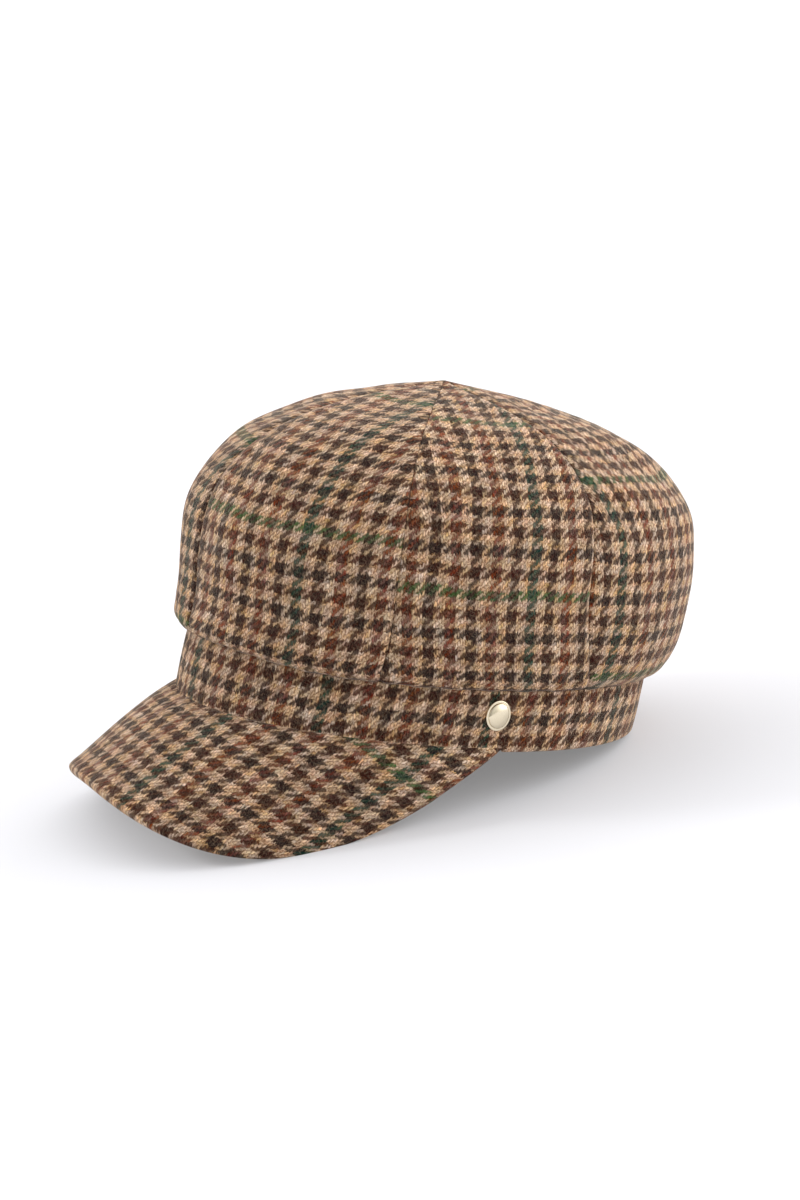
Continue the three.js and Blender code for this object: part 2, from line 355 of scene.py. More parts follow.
    def material(self) -> Material:
        """Makes the tweed.

        The thread on top is mixed with a little of the one under it, more so where tufts of dark fibre come
        through. Shade is painted into the gaps between the floats and light on to their crests, and loose
        pale fibres lie over all.

        Returns:
            The material.
        """
        material, tree, output = new_material("woollen_tweed")
        flat = add_node(tree, "UVMap", uv_map=CLOTH_UV).outputs[0]
        pitch = {0: self.strayed(tree, flat), 1: (self.warp_pitch, self.weft_pitch, 1)}
        counted = add_node(tree, "VectorMath", pitch, operation="DIVIDE").outputs[0]
        middle = {0: counted, 1: (self.band_threads / 2, self.band_threads / 2, 0)}
        cloth = add_node(tree, "VectorMath", middle, operation="ADD").outputs[0]
        i, j, warp_up, height = self.weave(tree, cloth)

        warp = self.heathered(tree, self.band_ramp(tree, i, self.warp_darks), cloth, self.heather_rates)
        weft = self.heathered(tree, self.band_ramp(tree, j, self.weft_darks), cloth, self.heather_rates[::-1])
        top = add_node(tree, "Mix", {"Factor": warp_up, 6: weft, 7: warp}, data_type="RGBA").outputs[2]
        under = add_node(tree, "Mix", {"Factor": warp_up, 6: warp, 7: weft}, data_type="RGBA").outputs[2]
        tufted = {"Vector": flat, "Scale": self.tufts_per_mm, "Detail": 3.0}
        tufts = add_node(tree, "TexNoise", tufted).outputs[0]
        through = {"Value": tufts, **NOISE_SPAN, "To Min": self.stray[0], "To Max": self.stray[1]}
        stray = add_node(tree, "MapRange", through).outputs[0]
        felted = {"Factor": self.blend, 6: top, 7: under}
        blended = add_node(tree, "Mix", felted, data_type="RGBA").outputs[2]
        mixed = {"Factor": stray, 6: blended, 7: under}
        woven = add_node(tree, "Mix", mixed, data_type="RGBA", blend_type="DARKEN").outputs[2]
        # Painted shade in the gaps between the floats, warm brown, and a painted highlight on their crests,
        # by height.
        depth = add_node(tree, "MapRange", {"Value": height, "From Max": self.crest_height}).outputs[0]
        painted_shading = {"Factor": depth, 6: linear(self.painted_gap_shade), 7: (*[self.painted_crest_light] * 3, 1)}
        shade = add_node(tree, "Mix", painted_shading, data_type="RGBA").outputs[2]
        shaded = add_node(tree, "VectorMath", {0: woven, 1: shade}, operation="MULTIPLY").outputs[0]
        loose = self.fibres(tree, flat)
        cover = add_node(tree, "Math", {0: loose, 1: self.fibre_share}, operation="MULTIPLY").outputs[0]
        covered = {"Factor": cover, 6: shaded, 7: linear(self.fibre_colour)}
        colour = add_node(tree, "Mix", covered, data_type="RGBA").outputs[2]

        over = {0: loose, 1: self.fibre_height, 2: height}
        raised = add_node(tree, "Math", over, operation="MULTIPLY_ADD").outputs[0]
        bumped = {"Height": raised, "Strength": 0.55, "Distance": self.relief * MM}
        wool = {
            "Base Color": colour,
            "Roughness": 0.95,
            "Specular IOR Level": 0.12,
            "Sheen Weight": 0.45,
            "Sheen Roughness": 0.2,
            "Sheen Tint": linear("#EFE3D4"),
            "Normal": add_node(tree, "Bump", bumped).outputs[0],
        }
        tree.links.new(add_node(tree, "BsdfPrincipled", wool).outputs[0], output.inputs[0])
        return material


@dataclass(frozen=True)
class Gilt:
    """Pale gilt brass, cast and polished: a bright mirror with a warm tint and the finest of wear."""

    colour: str = "#E3D6BB"
    roughness: float = 0.16
    wear: tuple[float, float] = (0.6, 1.5)
    wear_span: float = 1.6

    def material(self) -> Material:
        """Makes the gilt, whose polish is a little uneven over the span of its wear.

        Returns:
            The material.
        """
        material, tree, output = new_material("polished_gilt_brass")
        place = add_node(tree, "TexCoord").outputs["Object"]
        spots = {"Vector": place, "Scale": 1 / (self.wear_span * MM), "Detail": 4.0}
        worn = add_node(tree, "TexNoise", spots).outputs[0]
        low, high = (share * self.roughness for share in self.wear)
        uneven = {"Value": worn, **NOISE_SPAN, "To Min": low, "To Max": high}
        polish = add_node(tree, "MapRange", uneven).outputs[0]
        brass = {"Base Color": linear(self.colour), "Metallic": 1.0, "Roughness": polish}
        tree.links.new(add_node(tree, "BsdfPrincipled", brass).outputs[0], output.inputs[0])
        return material


@dataclass(frozen=True)
class LightTable:
    """A studio's opal light table: a matt pale floor with a faint even glow, which keeps the shadows pale."""

    colour: str = "#C1C1C5"
    glow: float = 0.21

    def material(self) -> Material:
        """Makes the opal sheet.

        Returns:
            The material.
        """
        material, tree, output = new_material("opal_light_table")
        opal = {
            "Base Color": linear(self.colour),
            "Roughness": 0.9,
            "Specular IOR Level": 0.1,
            "Emission Color": linear("#FFFFFF"),
            "Emission Strength": self.glow,
        }
        tree.links.new(add_node(tree, "BsdfPrincipled", opal).outputs[0], output.inputs[0])
        return material


def smooth(value: Array, low: float, high: float) -> Array:
    """Rises smoothly from 0 at the low value to 1 at the high one, as 3t² - 2t³."""
    t = np.clip((value - low) / (high - low), 0, 1)
    return t * t * (3 - 2 * t)


def softness(
    across: Array, along: Array, span: float, seed: int, waves: int = 7, shortest: float = 0.45
) -> Array:
    """The slow unevenness of soft cloth: a sum of sines that run in seeded directions.

    Args:
        across: Places across the cloth.
        along: Places along it.
        span: The longest wave's length.
        seed: What fixes the directions and phases.
        waves: How many sines are summed.
        shortest: The shortest wave's share of the longest.

    Returns:
        A height of about -1 to 1 at each place.
    """
    draw = np.random.default_rng(seed)
    heading, start = draw.uniform(0, TURN, (2, waves))
    length = span * draw.uniform(shortest, 1.0, waves)
    turn = TURN * (across[..., None] * np.cos(heading) + along[..., None] * np.sin(heading)) / length + start
    return np.sin(turn).sum(-1) / math.sqrt(2 * waves)


def length_along(points: Array, axis: int) -> Array:
    """Adds up the lengths from point to point along one axis of a grid.

    Args:
        points: The grid's points, with their coordinates last.
        axis: The axis to follow.

    Returns:
        The length from the start at each grid place.
    """
    steps = np.linalg.norm(np.diff(points, axis=axis), axis=-1)
    start = np.zeros_like(np.take(steps, [0], axis))
    return np.concatenate([start, np.cumsum(steps, axis)], axis)


def outward(points: Array) -> Array:
    """The unit normals of a grid that runs round the cap and then up it, as its two slopes' cross product."""
    normal = np.cross(np.gradient(points, axis=0), np.gradient(points, axis=1))
    return normal / np.linalg.norm(normal, axis=-1, keepdims=True)


@dataclass(frozen=True)
class Rest:
    """The way the cap stands: leaning back on the rear of its hem and the edge of its peak.

    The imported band's highest and rearmost corners say where the leaning ring comes to lie.
    """

    pitch: float = 14.82
    front_top: tuple[float, float, float] = (0, -99.5, 24)
    rear_top: tuple[float, float, float] = (0, 105.1, 24)

    def turned(self, vectors: Array | tuple[float, float, float]) -> Array:
        """Turns directions of the cap's frame to the floor's.

        Args:
            vectors: Directions in the cap's frame.

        Returns:
            The same directions as the cap leans.
        """
        cos, sin = math.cos(math.radians(self.pitch)), math.sin(math.radians(self.pitch))
        x, y, z = np.moveaxis(np.asarray(vectors, float), -1, 0)
        return np.stack([x, y * cos + z * sin, z * cos - y * sin], -1)

    def placed(self, points: Array) -> Array:
        """Turns points of the cap's frame to where they lie on the floor.

        Args:
            points: Points in the cap's frame, in millimetres.

        Returns:
            The points in the shared frame, in metres.
        """
        corner = np.array(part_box("band")[1]) / MM
        rear, front = self.turned(self.rear_top), self.turned(self.front_top)
        return (self.turned(points) + [0, corner[1] - rear[1], corner[2] - front[2]]) * MM

    def pressed(self, points: Array) -> Array:
        """Places points, and presses the cloth that would reach below the floor up on to it.

        Args:
            points: Points in the cap's frame, in millimetres.

        Returns:
            The points in the shared frame, in metres.
        """
        lying = self.placed(points)
        lying[..., 2] = np.maximum(lying[..., 2], 0)
        return lying


def new_piece(
    name: str, points: Array, faces: list[list[int]], corner_uv: Array | None = None, crease: float = 60.0
) -> Piece:
    """Makes a smooth-shaded object from arrays.

    Args:
        name: The piece's name.
        points: Its vertices, in metres.
        faces: The vertices of each face.
        corner_uv: The place on the flat cloth of each face's corners.
        crease: The angle between faces, in degrees, past which an edge stays sharp.

    Returns:
        The object, linked to the scene.
    """
    mesh = bpy.data.meshes.new(name)
    mesh.from_pydata(points.tolist(), [], faces)
    if corner_uv is not None:
        mesh.uv_layers.new(name=CLOTH_UV).data.foreach_set("uv", corner_uv.astype(np.float32).ravel())
    mesh.shade_smooth()
    mesh.set_sharp_from_angle(angle=math.radians(crease))
    piece = bpy.data.objects.new(name, mesh)
    bpy.context.scene.collection.objects.link(piece)
    return piece


def sewn_wall(name: str, loops: Array, cloth: Array, closed_round: bool) -> Piece:
    """A closed wall of cloth through a row of section loops.

    Each loop runs along one face of the wall and back along the other. Quads join each loop to the next, and
    a row with two ends is closed there by a strip between the wall's two faces.

    Args:
        name: The piece's name.
        loops: The points in metres, a row for each loop.
        cloth: The place of each point on the flat cloth, with one more row if the loops close round.
        closed_round: Whether the last loop joins the first.

    Returns:
        The new object.
    """
    rows, columns = loops.shape[:2]
    joins = rows if closed_round else rows - 1
    row, column = np.meshgrid(np.arange(joins), np.arange(columns), indexing="ij")
    corner_rows = np.stack([row, row + 1, row + 1, row], -1).reshape(-1, 4)
    corner_columns = np.stack([column, column, column + 1, column + 1], -1).reshape(-1, 4) % columns
    if not closed_round:
        step = np.arange(columns // 2 - 1)
        strip = np.stack([step, step + 1, columns - 2 - step, columns - 1 - step], -1)
        corner_columns = np.concatenate([corner_columns, strip, strip[:, ::-1]])
        corner_rows = np.concatenate([corner_rows, np.zeros_like(strip), np.full_like(strip, rows - 1)])
    faces = (corner_rows % rows) * columns + corner_columns
    return new_piece(name, loops.reshape(-1, 3), faces.tolist(), cloth[corner_rows, corner_columns])


def dress(piece: Piece, material: Material, node: str) -> Piece:
    """Gives a piece its finish and its place in the frame.

    Args:
        piece: The piece.
        material: Its finish.
        node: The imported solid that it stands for.

    Returns:
        The same piece.
    """
    piece.data.materials.append(material)
    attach(piece, "root")
    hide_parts(node)
    LOG.info("%s: %d faces", piece.name, len(piece.data.polygons))
    return piece


@dataclass
class Band:
    """The upright head band, an oval ring of folded cloth whose hem steps down behind the peak."""

    half_length: float = 102.3
    half_width: float = 83.9
    height: float = 24.0
    lean: float = 2.8
    wall: float = 2.5
    front_rise: float = 2.6
    rise_span: tuple[float, float] = (14.0, 50.0)
    hem_front: float = 1.2
    hem_drop: float = 2.4
    hem_start: float = 94.4
    hem_span: float = 0.9
    hem_margin: float = 0.4
    top_roll: float = 0.4
    bulge: float = 0.45
    unevenness: float = 0.25
    unevenness_span: float = 55.0
    seed: int = 11
    steps_round: int = 420
    steps_hem: int = 10
    steps_up: int = 36
    steps_roll: int = 9
    stripe_round: float = 5.0
    stripe_level: float = -24.0

    def point(self, angle: Array, level: Array, inset: Array | float) -> Array:
        """A point of the band: an oval, drawn in by the inset, that leans back with its level.

        Args:
            angle: The angle round the head.
            level: The level above the ring's bottom.
            inset: The depth inside the outer face.

        Returns:
            The points.
        """
        x = (self.half_width - inset) * np.sin(angle)
        y = -(self.half_length - inset) * np.cos(angle) + self.lean * level / self.height
        return np.stack(np.broadcast_arrays(x, y, level), -1)

    def tangent(self, angle: Array) -> Array:
        """The band's direction at an angle, between two points close to either side of it."""
        return self.point(angle + TINY_TURN, 0 * angle, 0) - self.point(angle - TINY_TURN, 0 * angle, 0)

    def from_front(self, angle: Array) -> Array:
        """The degrees from the front to an angle, by the shorter way round."""
        return np.abs(np.degrees(np.arctan2(np.sin(angle), np.cos(angle))))

    def rise(self, angle: Array) -> Array:
        """The top edge's rise over the brow: full at the front, and smoothly down to none at the sides."""
        return self.front_rise * (1 - smooth(self.from_front(angle), *self.rise_span))

    def hem_level(self, angle: Array) -> Array:
        """The hem's level: tucked against the peak, and a smooth step further down behind its ends."""
        behind = smooth(self.from_front(angle), self.hem_start, self.hem_start + self.hem_span)
        return -self.hem_front - (self.hem_drop - self.hem_front) * behind

    def round_length(self, angle: Array) -> Array:
        """The length round the band's outer face from the front to each of the rising angles."""
        return length_along(self.point(angle, np.zeros_like(angle), np.zeros_like(angle)), 0)

    def section(self) -> tuple[Array, Array, Array]:
        """The wall's section: up the outer face, over a low round top, down the inner face and round the hem.

        Returns:
            For each point of the section, its share of the height, its rise past the faces at the top or
            the hem, and its inset as a share of the wall.
        """
        up = np.linspace(0, 1, self.steps_up)
        roll = np.linspace(0, math.pi, self.steps_roll + 2)[1:-1]
        flat, turn = np.zeros_like(up), (1 - np.cos(roll)) / 2
        share = np.concatenate([up, np.ones(self.steps_roll), up[::-1], np.zeros(self.steps_roll)])
        proud = np.concatenate([flat, self.top_roll * np.sin(roll), flat, -self.wall / 2 * np.sin(roll)])
        return share, proud, np.concatenate([flat, turn, np.ones_like(up), turn[::-1]])

    def build(self, rest: Rest, tweed: Material) -> Piece:
        """Builds and dresses the band, whose steps round are closer where its hem steps down.

        Args:
            rest: The way the cap stands.
            tweed: Its cloth.

        Returns:
            The band.
        """
        hem = np.linspace(-self.hem_margin, 1 + self.hem_margin, self.steps_hem)
        step = np.radians(self.hem_start + hem * self.hem_span)
        angle = np.sort(np.concatenate([np.linspace(0, TURN, self.steps_round + 1), step, TURN - step]))
        share, proud, inset = self.section()
        low = self.hem_level(angle)[:, None] + self.wall / 2
        high = self.height + self.rise(angle)[:, None] - self.top_roll
        level = low + (high - low) * share + proud
        length = self.round_length(angle)[:, None] + np.zeros_like(level)
        middle = np.sin(math.pi * share)
        uneven = self.unevenness * softness(length[:-1], level[:-1], self.unevenness_span, self.seed)
        swell = np.where(inset < 0.5, self.bulge * middle + uneven * middle, 0)
        points = self.point(angle[:-1, None], level[:-1], self.wall * inset - swell)
        cloth = np.stack([length - self.stripe_round, level - self.stripe_level], -1)
        piece = sewn_wall("band_tweed", rest.pressed(points), cloth, closed_round=True)
        return dress(piece, tweed, "band")


@dataclass(frozen=True)
class CrownSection:
    """A level section of the crown: its oval's reaches, its seams' lean in degrees and its fullness."""

    height: float
    front: float
    back: float
    side: float
    lean: float
    fullness: float


@dataclass(frozen=True)
class PanelCut:
    """How one panel is cut from the cloth: its node and where the green stripes cross it.

    The warp stripe's place is counted from the panel's middle line, and the weft stripe's up from the band.
    """

    node: str
    warp_stripe: float
    weft_stripe: float


@dataclass
class Crown:
    """The full crown of six panels, sewn together in creased seams and gathered on to the band."""

    band: Band
    sections: tuple[CrownSection, ...] = (
        CrownSection(23.7, 99.7, 105.3, 84.1, 2, 0),
        CrownSection(25, 103.2, 108.5, 86.9, 2.2, 0.05),
        CrownSection(28, 104.7, 111.6, 88.8, 3, 0.1),
        CrownSection(34, 104.1, 114.2, 90.5, 4.6, 0.14),
        CrownSection(44, 103.2, 116, 92, 6.5, 0.18),
        CrownSection(62, 103.8, 116.8, 93, 8.5, 0.2),
        CrownSection(80, 102.4, 116.6, 92, 8.5, 0.18),
        CrownSection(93, 98, 115.2, 88, 8, 0.14),
        CrownSection(103.2, 91.2, 110, 81, 7, 0.12),
        CrownSection(113.6, 79.6, 97.8, 70.5, 6, 0.14),
        CrownSection(124.9, 59, 76.5, 52, 4.5, 0.15),
        CrownSection(133.8, 32.5, 44, 29, 3, 0.1),
        CrownSection(138, 13.5, 18.5, 12.5, 2.5, 0.05),
        CrownSection(140.8, 0.3, 0.3, 0.3, 2, 0),
    )
    rise_end: float = 66.0
    lean_shares: tuple[float, ...] = (0, 0.08, -1, 0, 1, -0.08, 0)
    cuts: tuple[PanelCut, ...] = (
        PanelCut("crown_panel_front_left", 14.5, 62.8),
        PanelCut("crown_panel_left", 16.2, 46.0),
        PanelCut("crown_panel_back_left", -53.0, 11.0),
        PanelCut("crown_panel_back_right", 24.0, 58.0),
        PanelCut("crown_panel_right", -9.0, 33.0),
        PanelCut("crown_panel_front_right", 42.0, 7.5),
    )
    wall: float = 2.0
    tip_wall: float = 1.2
    tip_calm: tuple[float, float] = (2.0, 12.0)
    seam_roll: float = 3.4
    seam_roll_most: float = 0.45
    seam_depth: float = 0.46
    seam_power: float = 2.0
    seam_gap: float = 0.26
    seam_gap_most: float = 0.1
    seam_flat: float = 3.0
    allowance: float = 5.0
    allowance_wall: float = 0.95
    clearance: float = 0.15
    welt: float = 0.22
    welt_place: float = 5.5
    welt_width: float = 2.5
    pucker: float = 0.2
    pucker_span: float = 9.0
    pucker_starts: tuple[float, float] = (2.1, 0.4)
    pucker_fade: float = 5.0
    pucker_swing: float = 0.4
    pucker_swing_span: float = 13.0
    gather: float = 0.3
    gather_span: float = 16.0
    gather_fade: float = 9.0
    unevenness: float = 0.7
    unevenness_span: float = 62.0
    uneven_from_seam: float = 16.0
    uneven_from_band: float = 14.0
    seed: int = 21
    steps_round: int = 1440
    steps_across: int = 96
    steps_up: int = 150
    crowding_across: float = 0.8
    crowding_up: float = 1.25

    def seam_angles(self) -> Array:
        """The six seams' angles on the band, at equal lengths round it from the front.

        Returns:
            The angles, with the first seam's again after a whole turn.
        """
        angle = np.linspace(0, TURN, self.steps_round + 1)
        length = self.band.round_length(angle)
        return np.interp(np.linspace(0, length[-1], len(self.cuts) + 1), length, angle)

    def section_at(self, up: Array) -> Array:
        """Reads the sections off at any share of the way up.

        A cubic runs from each row to the next, with the mean of the two neighbouring slopes at each row. The
        rows stand at their lengths up the crown's side profile.

        Args:
            up: Shares of the way from the band to the apex.

        Returns:
            The columns of CrownSection at each share, first.
        """
        rows = np.array([astuple(section) for section in self.sections])
        station = np.concatenate([[0], np.cumsum(np.hypot(np.diff(rows[:, 0]), np.diff(rows[:, 3])))])
        station /= station[-1]
        secant = np.diff(rows, axis=0) / np.diff(station)[:, None]
        slope = np.concatenate([secant[:1], (secant[1:] + secant[:-1]) / 2, secant[-1:]])
        k = np.clip(np.searchsorted(station, up, side="right") - 1, 0, len(rows) - 2)
        width = (station[k + 1] - station[k])[..., None]
        t = (up - station[k])[..., None] / width
        start = rows[k] * (1 + 2 * t) * (1 - t) ** 2 + slope[k] * width * t * (1 - t) ** 2
        end = rows[k + 1] * t**2 * (3 - 2 * t) - slope[k + 1] * width * t**2 * (1 - t)
        return np.moveaxis(start + end, -1, 0)

    def on_oval(self, section: Array, angle: Array) -> Array:
        """A section's point at an angle: on an oval with its own reaches to the front and to the back.

        The band's rise over the brow lifts it, less and less with its height.

        Args:
            section: The columns of CrownSection, first.
            angle: The angle round the head.

        Returns:
            The points.
        """
        height, front, back, side = section[:4]
        reach = np.where(np.cos(angle) > 0, front, back)
        lifted = height + self.band.rise(angle) * (1 - smooth(height, self.sections[0].height, self.rise_end))
        return np.stack([side * np.sin(angle), -reach * np.cos(angle), lifted], -1)

    def surface(self, panel: int, across: Array, up: Array, gap: float = 0.0) -> tuple[Array, Array]:
        """A panel's plain face: the section's oval, swelled away from the chord between its two seams.

        Args:
            panel: The panel's number from the front round by the wearer's left.
            across: Shares from the panel's first seam to its second.
            up: Shares of the way from the band to the apex.
            gap: The width of the crease at a seam, half of which is left on each side.

        Returns:
            The points, and those of the plain oval, which has no break at the seams.
        """
        section = self.section_at(up)
        side, lean, fullness = section[3:]
        angles = self.seam_angles()
        start, end = (angles[k] + self.lean_shares[k] * np.radians(lean) for k in (panel, panel + 1))
        trim = np.minimum(gap / (2 * side * (end - start)), self.seam_gap_most)
        across = trim + (1 - 2 * trim) * across
        first, second = (self.on_oval(section, angle) for angle in (start, end))
        chord = first + (second - first) * across[..., None]
        oval = self.on_oval(section, start + (end - start) * across)
        return oval + (oval - chord) * fullness[..., None], oval

    def relief(self, panel: int, width: Array, along: Array, wall: Array) -> Array:
        """The sewn cloth's relief over a panel's plain face.

        The cloth rolls down into each seam by a power of its nearness, stands a little proud beside it over
        the turned-in edges, puckers along it, gathers at the band and is slowly uneven between.

        Args:
            panel: The panel's number.
            width: Places across the panel from its middle line.
            along: Lengths up the panel from the band.
            wall: The wall's thickness.

        Returns:
            The height over the plain face.
        """
        from_seam = np.minimum(width - width[:1], width[-1:] - width)
        reach = (width[-1:] - width[:1]) / 2
        roll = np.minimum(self.seam_roll, self.seam_roll_most * reach)
        turn = np.clip(1 - from_seam / roll, 0, 1)
        groove = self.seam_depth * wall * turn**self.seam_power
        proud = self.welt * np.exp(-(((from_seam - self.welt_place) / self.welt_width) ** 2))
        sewn_flat = smooth(from_seam, 0, self.seam_flat)
        ripple = np.sin(TURN * along / self.pucker_span + np.where(width > 0, *self.pucker_starts) + panel)
        swing = 1 - self.pucker_swing + self.pucker_swing * np.sin(along / self.pucker_swing_span + panel)
        puckers = self.pucker * ripple * swing * np.exp(-from_seam / self.pucker_fade) * sewn_flat
        tucks = np.sin(TURN * width / self.gather_span + panel)
        gathers = self.gather * tucks * np.exp(-along / self.gather_fade) * sewn_flat
        inside = smooth(from_seam, 0, self.uneven_from_seam) * (1 - np.exp(-along / self.uneven_from_band))
        uneven = self.unevenness * softness(width, along, self.unevenness_span, self.seed + panel) * inside
        return (proud + puckers + gathers + uneven) * smooth(reach, *self.tip_calm) - groove

    def allowance_loop(self, panel: int, across: Array, cloth: Array) -> tuple[Array, Array]:
        """The panel's seam allowance, which is turned down inside the band and closes the crease above it.

        Its section is a thin upright wall just inside the band's, four points at each place across the panel.

        Args:
            panel: The panel's number.
            across: Shares from the panel's first seam to its second.
            cloth: The cloth's place at the panel's lower edge.

        Returns:
            The section's outer foot and top and its inner top and foot, and the place of each on the cloth.
        """
        angles = self.seam_angles()
        angle = (angles[panel] + (angles[panel + 1] - angles[panel]) * across)[:, None]
        outer = self.band.wall + self.clearance
        inset = np.array([outer, outer, outer + self.allowance_wall, outer + self.allowance_wall])
        edge = np.array([-self.allowance, 0, self.wall, -self.allowance])
        level = self.band.height + self.band.rise(angle) + self.clearance + edge
        down = np.array([self.allowance, 0, 0, self.allowance])
        return self.band.point(angle, level, inset), cloth - np.stack([0 * down, down], -1)

    def build_panel(self, panel: int, rest: Rest, tweed: Material) -> Piece:
        """Builds and dresses one panel.

        The steps across are closer towards the seams, where the cloth rolls in, and the steps up towards the
        band. The seam's crease is open in the outer face and closed at the inner one.

        Args:
            panel: The panel's number.
            rest: The way the cap stands.
            tweed: Its cloth.

        Returns:
            The panel.
        """
        cut = self.cuts[panel]
        step = np.linspace(0, 1, self.steps_across + 1)
        eased = step - self.crowding_across * np.sin(TURN * step) / TURN
        rising = np.linspace(0, 1, self.steps_up + 1) ** self.crowding_up
        across, up = np.broadcast_arrays(eased[:, None], rising)
        face, oval = self.surface(panel, across, up, self.seam_gap)
        back, back_oval = self.surface(panel, across, up)
        middle = len(step) // 2
        run = length_along(face, 0)
        width = run - run[middle]
        along = np.broadcast_to(length_along(face[middle], 0), up.shape)
        wall = self.wall + (self.tip_wall - self.wall) * up
        outer = face + outward(oval) * self.relief(panel, width, along, wall)[..., None]
        inner = back - outward(back_oval) * wall[..., None]
        cloth = np.stack([width - cut.warp_stripe, along - cut.weft_stripe], -1)
        turned_in, turned_cloth = self.allowance_loop(panel, eased, cloth[:, :1])
        loops = np.concatenate([turned_in[:, :2], outer, inner[:, ::-1], turned_in[:, 2:]], 1)
        uv = np.concatenate([turned_cloth[:, :2], cloth, cloth[:, ::-1], turned_cloth[:, 2:]], 1)
        piece = sewn_wall(f"{cut.node}_tweed", rest.placed(loops), uv, closed_round=False)
        return dress(piece, tweed, cut.node)

    def build(self, rest: Rest, tweed: Material) -> list[Piece]:
        """Builds and dresses the six panels, from the front round by the wearer's left."""
        return [self.build_panel(panel, rest, tweed) for panel in range(len(self.cuts))]


@dataclass
class Peak:
    """The peak: a stiff card in tweed, cut to a rounded outline, bent round the band and sloping down."""

    band: Band
    slope: float = 40.0
    end_angle: float = 95.5
    wall: float = 3.0
    inset: float = 0.3
    seam_gap: float = 0.3
    plan_half_width: float = 125.0
    plan_depth: float = 148.6
    plan_setback: float = 14.0
    plan_exponent: float = 2.75
    camber: float = 2.1
    edge_droop: float = 1.2
    edge_droop_power: int = 4
    edge_swell: float = 0.7
    edge_swell_span: tuple[float, float] = (2.0, 14.0)
    edge_welt: float = 0.22
    edge_welt_span: tuple[float, float] = (4.0, 8.0)
    edge_calm: float = 3.0
    unevenness: float = 0.18
    unevenness_span: float = 48.0
    uneven_from_seam: float = 12.0
    seed: int = 31
    steps_card: int = 720
    steps_round: int = 300
    steps_out: int = 60
    steps_edge: int = 12
    crowding_out: float = 0.8
    stripe_across: float = 34.8
    stripe_out: float = 51.1
    stripe_bow: float = 0.0014

    def card_width(self, angle: Array) -> Array:
        """The width on the flat card from its middle line to an angle on the band.

        It adds up the band's steps as they are seen along the fall of the peak.

        Args:
            angle: Angles of either side.

        Returns:
            The signed width at each angle.
        """
        table = np.linspace(0, math.radians(self.end_angle), self.steps_card + 1)
        middle = (table[1:] + table[:-1]) / 2
        rise = self.band.half_length * np.sin(middle) * math.sin(math.radians(self.slope))
        growth = np.hypot(self.band.half_width * np.cos(middle), rise) * np.diff(table)
        return np.sign(angle) * np.interp(np.abs(angle), table, np.concatenate([[0], np.cumsum(growth)]))

    def reach(self, angle: Array) -> Array:
        """The peak's length along its fall, from its sewn edge to the outline on the flat card.

        The outline is a rounded curve, its width and depth raised to one power.

        Args:
            angle: Angles on the band.

        Returns:
            The length at each angle.
        """
        width = np.abs(self.card_width(angle)) / self.plan_half_width
        depth = self.plan_depth * (1 - width**self.plan_exponent) ** (1 / self.plan_exponent)
        sewn = self.band.half_length * np.cos(angle) * math.cos(math.radians(self.slope))
        return depth - self.plan_setback - sewn

    def build(self, rest: Rest, tweed: Material) -> Piece:
        """Builds and dresses the peak.

        Its section at each angle runs out along the under face, round the free edge in a half circle and back
        along the upper face. The wall narrows to a round edge at the peak's two ends too, and thickens
        towards the free edge. The card is domed along its fall by a cubic, fullest at a third of the way, and
        droops at its edge.

        Args:
            rest: The way the cap stands.
            tweed: Its cloth.

        Returns:
            The peak.
        """
        step = np.linspace(-0.5, 0.5, self.steps_round + 1)
        angle = math.radians(self.end_angle) * np.sin(math.pi * step)
        slope = math.radians(self.slope)
        fall = np.array([0, -math.cos(slope), -math.sin(slope)])
        upward = np.cross(fall, self.band.tangent(angle))
        upward /= np.linalg.norm(upward, axis=-1, keepdims=True)
        half = self.wall / 2
        reach = self.reach(angle)[:, None]
        out = np.linspace(0, 1, self.steps_out + 1) ** self.crowding_out
        edge = np.linspace(0, math.pi, self.steps_edge + 2)[1:-1]
        under_start = -self.wall * upward[:, 2:] / math.sin(slope)
        run = reach - half
        under = under_start + (run - under_start) * out
        distance = np.concatenate([under, run + half * np.sin(edge), run * out[::-1]], 1)
        depth = np.concatenate([np.full(len(out), self.wall), half + half * np.cos(edge), np.zeros(len(out))])
        width = self.card_width(angle)[:, None] + np.zeros_like(distance)
        from_end = np.abs(width).max() - np.abs(width)
        narrowing = np.sqrt(1 - np.clip(1 - from_end / half, 0, 1) ** 2)
        from_edge = np.minimum(reach - distance, from_end)
        welt = self.edge_welt * (1 - smooth(from_edge, *self.edge_welt_span))
        uneven = self.unevenness * softness(width, distance, self.unevenness_span, self.seed)
        relief = welt + uneven * smooth(distance, 0, self.uneven_from_seam)
        lift = np.where(depth < half, relief * smooth(from_edge, 0, self.edge_calm), 0)
        share = np.clip(distance / reach, 0, 1)
        dome = self.camber * DOME_SCALE * share * (1 - share) ** 2
        bend = dome - self.edge_droop * share**self.edge_droop_power
        thick = 1 + self.edge_swell * (1 - smooth(reach - distance, *self.edge_swell_span))
        height = ((half - depth) * narrowing - half) * thick + lift + bend * reach / reach.max()
        start = self.band.point(angle[:, None], np.full((len(angle), 1), -self.seam_gap), self.inset)
        points = start + distance[..., None] * fall + height[..., None] * upward[:, None]
        card_out = distance + self.band.half_length * np.cos(angle)[:, None] * math.cos(slope)
        bowed = self.stripe_out - card_out - self.stripe_bow * width**2
        cloth = np.stack([width - self.stripe_across, bowed], -1)
        piece = sewn_wall("peak_tweed", rest.pressed(points), cloth, closed_round=False)
        return dress(piece, tweed, "peak")


